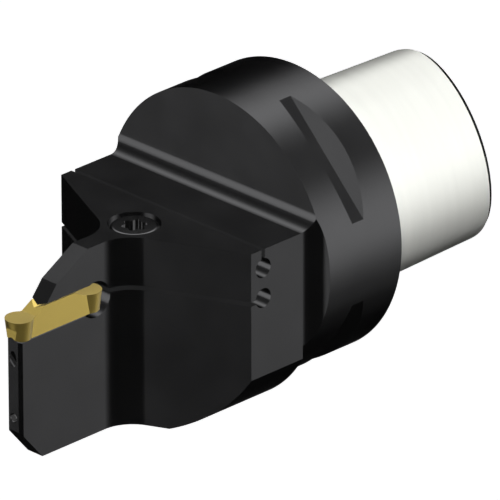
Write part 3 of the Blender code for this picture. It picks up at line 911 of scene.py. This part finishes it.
def soft_card(name, azimuth, elevation, half_width, half_height, soft, radiance, distance):
    """A curved softbox or flag round the tool that shows only in reflections, sized in degrees."""
    centre = direction(azimuth, elevation)
    side = sideways(azimuth)
    up = side.cross(centre)
    up = -up if up.z < 0 else up
    columns = int((2 * half_width + soft) / CARD_STEP) + 2
    lines = int((2 * half_height + soft) / CARD_STEP) + 2
    points, cover = [], []
    for j in range(lines):
        v = (half_height + soft / 2) * (2 * j / (lines - 1) - 1)
        for i in range(columns):
            u = (half_width + soft / 2) * (2 * i / (columns - 1) - 1)
            level = centre * cos(radians(u)) + side * sin(radians(u))
            towards = level * cos(radians(v)) + up * sin(radians(v))
            points.append(AIM + towards * distance)
            cover.append(smooth_step((half_width - abs(u)) / soft + 0.5)
                         * smooth_step((half_height - abs(v)) / soft + 0.5))
    quads = []
    for j in range(lines - 1):
        for i in range(columns - 1):
            corner = j * columns + i
            quads.append((corner, corner + 1, corner + columns + 1, corner + columns))
    mesh = bpy.data.meshes.new(name)
    mesh.from_pydata(points, [], quads)
    mesh.attributes.new("cover", "FLOAT", "POINT").data.foreach_set("value", cover)
    mesh.shade_smooth()
    mesh.materials.append(card_material(name, radiance))
    card = bpy.data.objects.new(name, mesh)
    bpy.context.scene.collection.objects.link(card)
    card.visible_camera = False
    card.visible_diffuse = False
    card.visible_shadow = False


def plain_lamp(name, azimuth, elevation, distance, size, level):
    """A square lamp for diffuse surfaces only; level is how bright a white card it faces gets."""
    light = bpy.data.lights.new(name, "AREA")
    light.size = size
    light.energy = level * pi * pi * distance**2
    lamp = bpy.data.objects.new(name, light)
    lamp.visible_camera = False
    lamp.visible_glossy = False
    towards = direction(azimuth, elevation)
    rotation = towards.to_track_quat("Z", "Y").to_matrix().to_4x4()
    lamp.matrix_world = Matrix.Translation(AIM + towards * distance) @ rotation
    bpy.context.scene.collection.objects.link(lamp)


def seen_directly(nodes, links):
    """A value that is 1 for camera, glossy and transmission rays."""
    path = nodes.new("ShaderNodeLightPath")
    seen = path.outputs["Is Camera Ray"]
    for ray in ("Is Glossy Ray", "Is Transmission Ray"):
        either = nodes.new("ShaderNodeMath")
        either.operation = "ADD"
        either.use_clamp = True
        links.new(seen, either.inputs[0])
        links.new(path.outputs[ray], either.inputs[1])
        seen = either.outputs[0]
    return seen


def make_world():
    """A white world that gives next to no diffuse light of its own."""
    world = bpy.data.worlds.new("studio")
    bpy.context.scene.world = world
    world.use_nodes = True
    world.cycles.sampling_method = "NONE"
    nodes, links = world.node_tree.nodes, world.node_tree.links
    nodes.clear()
    mix = nodes.new("ShaderNodeMixShader")
    links.new(seen_directly(nodes, links), mix.inputs[0])
    for strength, socket in ((WORLD_UNSEEN, mix.inputs[1]), (WORLD_SEEN, mix.inputs[2])):
        white = nodes.new("ShaderNodeBackground")
        white.inputs["Color"].default_value = (1, 1, 1, 1)
        white.inputs["Strength"].default_value = strength
        links.new(white.outputs[0], socket)
    out = nodes.new("ShaderNodeOutputWorld")
    links.new(mix.outputs[0], out.inputs[0])


def make_floor():
    """A white floor far below the tool, which throws no light back on it."""
    bm = bmesh.new()
    corners = [(-1, -1), (1, -1), (1, 1), (-1, 1)]
    bm.faces.new([bm.verts.new((x * FLOOR_HALF, y * FLOOR_HALF, 0)) for x, y in corners])
    floor = mesh_object("floor", bm)
    floor.location.z = FLOOR_HEIGHT
    material = bpy.data.materials.new("pale_floor")
    material.use_nodes = True
    nodes, links = material.node_tree.nodes, material.node_tree.links
    shader = nodes["Principled BSDF"]
    shader.inputs["Base Color"].default_value = (*[FLOOR_COLOUR] * 3, 1)
    shader.inputs["Roughness"].default_value = FLOOR_ROUGHNESS
    glow = nodes.new("ShaderNodeEmission")
    links.new(seen_directly(nodes, links), glow.inputs["Strength"])
    glow.inputs["Color"].default_value = (*[FLOOR_GLOW] * 3, 1)
    add = nodes.new("ShaderNodeAddShader")
    links.new(shader.outputs[0], add.inputs[0])
    links.new(glow.outputs[0], add.inputs[1])
    links.new(add.outputs[0], nodes["Material Output"].inputs["Surface"])
    floor.data.materials.append(material)
    floor.visible_diffuse = False


def make_camera():
    """The photograph's camera: a long lens, a little over 2.5 m away, front right and above."""
    roll = radians(CAMERA_ROLL)
    back = direction(CAMERA_AZIMUTH, CAMERA_ELEVATION)
    level = sideways(CAMERA_AZIMUTH)
    upright = back.cross(level)
    right = level * cos(roll) - upright * sin(roll)
    up = level * sin(roll) + upright * cos(roll)
    target = right * CAMERA_AIM_RIGHT * MM + up * CAMERA_AIM_UP * MM
    place = back * CAMERA_DISTANCE
    towards = (place - target).normalized()
    side = up.cross(towards).normalized()
    over = towards.cross(side)
    data = bpy.data.cameras.new("camera")
    data.lens = CAMERA_LENS
    data.sensor_width = CAMERA_SENSOR
    data.clip_start = CAMERA_CLIP_START
    data.clip_end = CAMERA_CLIP_END
    camera = bpy.data.objects.new("camera", data)
    rotation = Matrix((side, over, towards)).transposed().to_4x4()
    camera.matrix_world = Matrix.Translation(place) @ rotation
    bpy.context.scene.collection.objects.link(camera)
    bpy.context.scene.camera = camera


bpy.context.scene.view_settings.view_transform = "Standard"
make_camera()
make_world()
make_floor()

plain_lamp("plain_lamp", **LAMP)
for card_name, card_values in CARDS.items():
    soft_card(card_name, *card_values)

body = make_tool_body()
# The third material is the same oxide painted darker, as shade in the slit and under the insert
dress(body, "black_oxide_steel", "tool_body", black_oxide("black_oxide", OXIDE_LEVEL),
      ground_steel(), black_oxide("black_oxide_painted_gap_shade", PAINTED_GAP_SHADE_LEVEL))
# The materials in the order in which dress took them: oxide, ground steel, and oxide painted
# darker as shade in gaps
for face in body.data.polygons:
    face.material_index = 1 if is_ground(face) else 2 if is_painted_shade_gap(face) else 0
insert, screw, plug = make_insert(), make_screw(), make_plug()
dress(insert, "gold_coated_carbide", "cutting_insert", gold_coating())
dress(screw, "dark_screw_steel", "clamp_screw", screw_steel())
dress(plug, "plug_steel", "coolant_plug", plug_metal())
